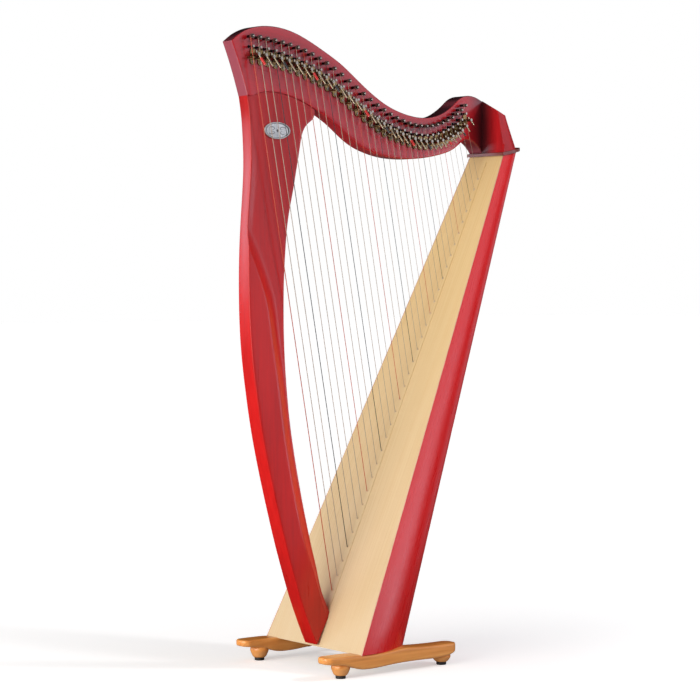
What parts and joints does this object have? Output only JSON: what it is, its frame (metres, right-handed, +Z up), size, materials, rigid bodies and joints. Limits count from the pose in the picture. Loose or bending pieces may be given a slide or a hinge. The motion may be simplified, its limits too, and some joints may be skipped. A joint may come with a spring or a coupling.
{
  "type": "lever harp",
  "caption": "Floor-standing lever harp: curved red-stained neck and pillar, pale soundboard, rounded tapering soundbox, sharping levers that flip, and a runner base on ball feet.",
  "frame": {"origin": "on the floor, at the middle of the harp's bounding box seen from above", "axes": "+Z up; +X from the pillar towards the player; the levers are on the -Y side"},
  "size_m": [0.7804, 0.3444, 1.3909],
  "materials": {
    "stained_wood": "crimson stain under satin lacquer",
    "dark_stained_wood": "dark red stain under satin lacquer",
    "spruce": "pale straight-grained spruce, satin",
    "strip_wood": "pale hardwood, satin",
    "inner_wood": "bare hardwood",
    "base_wood": "honey-coloured wood, satin lacquer",
    "eyelet": "polished",
    "knot": "nylon knot and washer",
    "string_red": "red nylon",
    "string_black": "black nylon",
    "string_natural": "natural nylon",
    "blued_steel": "blued steel with bright ends",
    "bright_steel": "nickel-plated steel",
    "zinc_steel": "zinc-plated steel",
    "lever_brass": "satin brass",
    "lever_metal": "polished brass",
    "sleeve_red": "brass lever with a red sleeve",
    "sleeve_black": "brass lever with a black sleeve",
    "badge_metal": "satin silver plate",
    "pad_rubber": "black rubber"
  },
  "bodies": {
    "frame": {"badge_plate": "badge_metal", "ball_feet": "base_wood", "base_bolts": "zinc_steel", "base_runner_left": "base_wood", "base_runner_right": "base_wood", "bottom_board": "inner_wood", "box_braces": "inner_wood", "bridge_pins": "bright_steel", "foot_pads": "pad_rubber", "lever_bases": "lever_brass", "lever_screws": "bright_steel", "neck": "stained_wood", "pillar": "stained_wood", "shoulder_block": "stained_wood", "soundboard": "spruce", "soundbox_shell": "stained_wood", "string_eyelets": "eyelet", "string_knots": "knot", "string_strip_inner": "inner_wood", "string_strip_outer": "strip_wood", "strings_black": "string_black", "strings_natural": "string_natural", "strings_red": "string_red", "top_block": "inner_wood", "top_plate": "dark_stained_wood", "tuning_pins": "blued_steel"},
    "lever_01_c": {"lever_01_c": "sleeve_red"},
    "lever_02_d": {"lever_02_d": "lever_metal"},
    "lever_03_e": {"lever_03_e": "lever_metal"},
    "lever_04_f": {"lever_04_f": "sleeve_black"},
    "lever_05_g": {"lever_05_g": "lever_metal"},
    "lever_06_a": {"lever_06_a": "lever_metal"},
    "lever_07_b": {"lever_07_b": "lever_metal"},
    "lever_08_c": {"lever_08_c": "sleeve_red"},
    "lever_09_d": {"lever_09_d": "lever_metal"},
    "lever_10_e": {"lever_10_e": "lever_metal"},
    "lever_11_f": {"lever_11_f": "sleeve_black"},
    "lever_12_g": {"lever_12_g": "lever_metal"},
    "lever_13_a": {"lever_13_a": "lever_metal"},
    "lever_14_b": {"lever_14_b": "lever_metal"},
    "lever_15_c": {"lever_15_c": "sleeve_red"},
    "lever_16_d": {"lever_16_d": "lever_metal"},
    "lever_17_e": {"lever_17_e": "lever_metal"},
    "lever_18_f": {"lever_18_f": "sleeve_black"},
    "lever_19_g": {"lever_19_g": "lever_metal"},
    "lever_20_a": {"lever_20_a": "lever_metal"},
    "lever_21_b": {"lever_21_b": "lever_metal"},
    "lever_22_c": {"lever_22_c": "sleeve_red"},
    "lever_23_d": {"lever_23_d": "lever_metal"},
    "lever_24_e": {"lever_24_e": "lever_metal"},
    "lever_25_f": {"lever_25_f": "sleeve_black"},
    "lever_26_g": {"lever_26_g": "lever_metal"},
    "lever_27_a": {"lever_27_a": "lever_metal"},
    "lever_28_b": {"lever_28_b": "lever_metal"},
    "lever_29_c": {"lever_29_c": "sleeve_red"},
    "lever_30_d": {"lever_30_d": "lever_metal"},
    "lever_31_e": {"lever_31_e": "lever_metal"},
    "lever_32_f": {"lever_32_f": "sleeve_black"},
    "lever_33_g": {"lever_33_g": "lever_metal"},
    "lever_34_a": {"lever_34_a": "lever_metal"}
  },
  "joints": [
    {"name": "lever_01_c_flip", "type": "hinge", "parent": "frame", "child": "lever_01_c", "pos_m": [-0.33603, 0, 1.32677], "axis": [0, -1, 0], "range_deg": [0, 90]},
    {"name": "lever_02_d_flip", "type": "hinge", "parent": "frame", "child": "lever_02_d", "pos_m": [-0.31613, 0, 1.32557], "axis": [0, -1, 0], "range_deg": [0, 90]},
    {"name": "lever_03_e_flip", "type": "hinge", "parent": "frame", "child": "lever_03_e", "pos_m": [-0.29602, 0, 1.32357], "axis": [0, -1, 0], "range_deg": [0, 90]},
    {"name": "lever_04_f_flip", "type": "hinge", "parent": "frame", "child": "lever_04_f", "pos_m": [-0.27582, 0, 1.32087], "axis": [0, -1, 0], "range_deg": [0, 90]},
    {"name": "lever_05_g_flip", "type": "hinge", "parent": "frame", "child": "lever_05_g", "pos_m": [-0.25562, 0, 1.31737], "axis": [0, -1, 0], "range_deg": [0, 90]},
    {"name": "lever_06_a_flip", "type": "hinge", "parent": "frame", "child": "lever_06_a", "pos_m": [-0.23542, 0, 1.31307], "axis": [0, -1, 0], "range_deg": [0, 90]},
    {"name": "lever_07_b_flip", "type": "hinge", "parent": "frame", "child": "lever_07_b", "pos_m": [-0.21532, 0, 1.30797], "axis": [0, -1, 0], "range_deg": [0, 90]},
    {"name": "lever_08_c_flip", "type": "hinge", "parent": "frame", "child": "lever_08_c", "pos_m": [-0.19531, 0, 1.30197], "axis": [0, -1, 0], "range_deg": [0, 90]},
    {"name": "lever_09_d_flip", "type": "hinge", "parent": "frame", "child": "lever_09_d", "pos_m": [-0.17521, 0, 1.29487], "axis": [0, -1, 0], "range_deg": [0, 90]},
    {"name": "lever_10_e_flip", "type": "hinge", "parent": "frame", "child": "lever_10_e", "pos_m": [-0.1551, 0, 1.28667], "axis": [0, -1, 0], "range_deg": [0, 90]},
    {"name": "lever_11_f_flip", "type": "hinge", "parent": "frame", "child": "lever_11_f", "pos_m": [-0.13551, 0, 1.27813], "axis": [0, -1, 0], "range_deg": [0, 90]},
    {"name": "lever_12_g_flip", "type": "hinge", "parent": "frame", "child": "lever_12_g", "pos_m": [-0.1149, 0, 1.26693], "axis": [0, -1, 0], "range_deg": [0, 90]},
    {"name": "lever_13_a_flip", "type": "hinge", "parent": "frame", "child": "lever_13_a", "pos_m": [-0.09391, 0, 1.25443], "axis": [0, -1, 0], "range_deg": [0, 90]},
    {"name": "lever_14_b_flip", "type": "hinge", "parent": "frame", "child": "lever_14_b", "pos_m": [-0.07292, 0, 1.24103], "axis": [0, -1, 0], "range_deg": [0, 90]},
    {"name": "lever_15_c_flip", "type": "hinge", "parent": "frame", "child": "lever_15_c", "pos_m": [-0.05232, 0, 1.22753], "axis": [0, -1, 0], "range_deg": [0, 90]},
    {"name": "lever_16_d_flip", "type": "hinge", "parent": "frame", "child": "lever_16_d", "pos_m": [-0.03221, 0, 1.21473], "axis": [0, -1, 0], "range_deg": [0, 90]},
    {"name": "lever_17_e_flip", "type": "hinge", "parent": "frame", "child": "lever_17_e", "pos_m": [-0.01279, 0, 1.20313], "axis": [0, -1, 0], "range_deg": [0, 90]},
    {"name": "lever_18_f_flip", "type": "hinge", "parent": "frame", "child": "lever_18_f", "pos_m": [0.00604, 0, 1.19303], "axis": [0, -1, 0], "range_deg": [0, 90]},
    {"name": "lever_19_g_flip", "type": "hinge", "parent": "frame", "child": "lever_19_g", "pos_m": [0.02447, 0, 1.18443], "axis": [0, -1, 0], "range_deg": [0, 90]},
    {"name": "lever_20_a_flip", "type": "hinge", "parent": "frame", "child": "lever_20_a", "pos_m": [0.04289, 0, 1.17703], "axis": [0, -1, 0], "range_deg": [0, 90]},
    {"name": "lever_21_b_flip", "type": "hinge", "parent": "frame", "child": "lever_21_b", "pos_m": [0.0606, 0, 1.1718], "axis": [0, -1, 0], "range_deg": [0, 90]},
    {"name": "lever_22_c_flip", "type": "hinge", "parent": "frame", "child": "lever_22_c", "pos_m": [0.07881, 0, 1.1667], "axis": [0, -1, 0], "range_deg": [0, 90]},
    {"name": "lever_23_d_flip", "type": "hinge", "parent": "frame", "child": "lever_23_d", "pos_m": [0.09624, 0, 1.1628], "axis": [0, -1, 0], "range_deg": [0, 90]},
    {"name": "lever_24_e_flip", "type": "hinge", "parent": "frame", "child": "lever_24_e", "pos_m": [0.11289, 0, 1.16], "axis": [0, -1, 0], "range_deg": [0, 90]},
    {"name": "lever_25_f_flip", "type": "hinge", "parent": "frame", "child": "lever_25_f", "pos_m": [0.12925, 0, 1.1584], "axis": [0, -1, 0], "range_deg": [0, 90]},
    {"name": "lever_26_g_flip", "type": "hinge", "parent": "frame", "child": "lever_26_g", "pos_m": [0.14561, 0, 1.1582], "axis": [0, -1, 0], "range_deg": [0, 90]},
    {"name": "lever_27_a_flip", "type": "hinge", "parent": "frame", "child": "lever_27_a", "pos_m": [0.16204, 0, 1.1595], "axis": [0, -1, 0], "range_deg": [0, 90]},
    {"name": "lever_28_b_flip", "type": "hinge", "parent": "frame", "child": "lever_28_b", "pos_m": [0.17799, 0, 1.1624], "axis": [0, -1, 0], "range_deg": [0, 90]},
    {"name": "lever_29_c_flip", "type": "hinge", "parent": "frame", "child": "lever_29_c", "pos_m": [0.19336, 0, 1.1668], "axis": [0, -1, 0], "range_deg": [0, 90]},
    {"name": "lever_30_d_flip", "type": "hinge", "parent": "frame", "child": "lever_30_d", "pos_m": [0.20806, 0, 1.1726], "axis": [0, -1, 0], "range_deg": [0, 90]},
    {"name": "lever_31_e_flip", "type": "hinge", "parent": "frame", "child": "lever_31_e", "pos_m": [0.22238, 0, 1.1794], "axis": [0, -1, 0], "range_deg": [0, 90]},
    {"name": "lever_32_f_flip", "type": "hinge", "parent": "frame", "child": "lever_32_f", "pos_m": [0.23643, 0, 1.1872], "axis": [0, -1, 0], "range_deg": [0, 90]},
    {"name": "lever_33_g_flip", "type": "hinge", "parent": "frame", "child": "lever_33_g", "pos_m": [0.25, 0, 1.1972], "axis": [0, -1, 0], "range_deg": [0, 90]},
    {"name": "lever_34_a_flip", "type": "hinge", "parent": "frame", "child": "lever_34_a", "pos_m": [0.26286, 0, 1.2114], "axis": [0, -1, 0], "range_deg": [0, 90]}
  ]
}
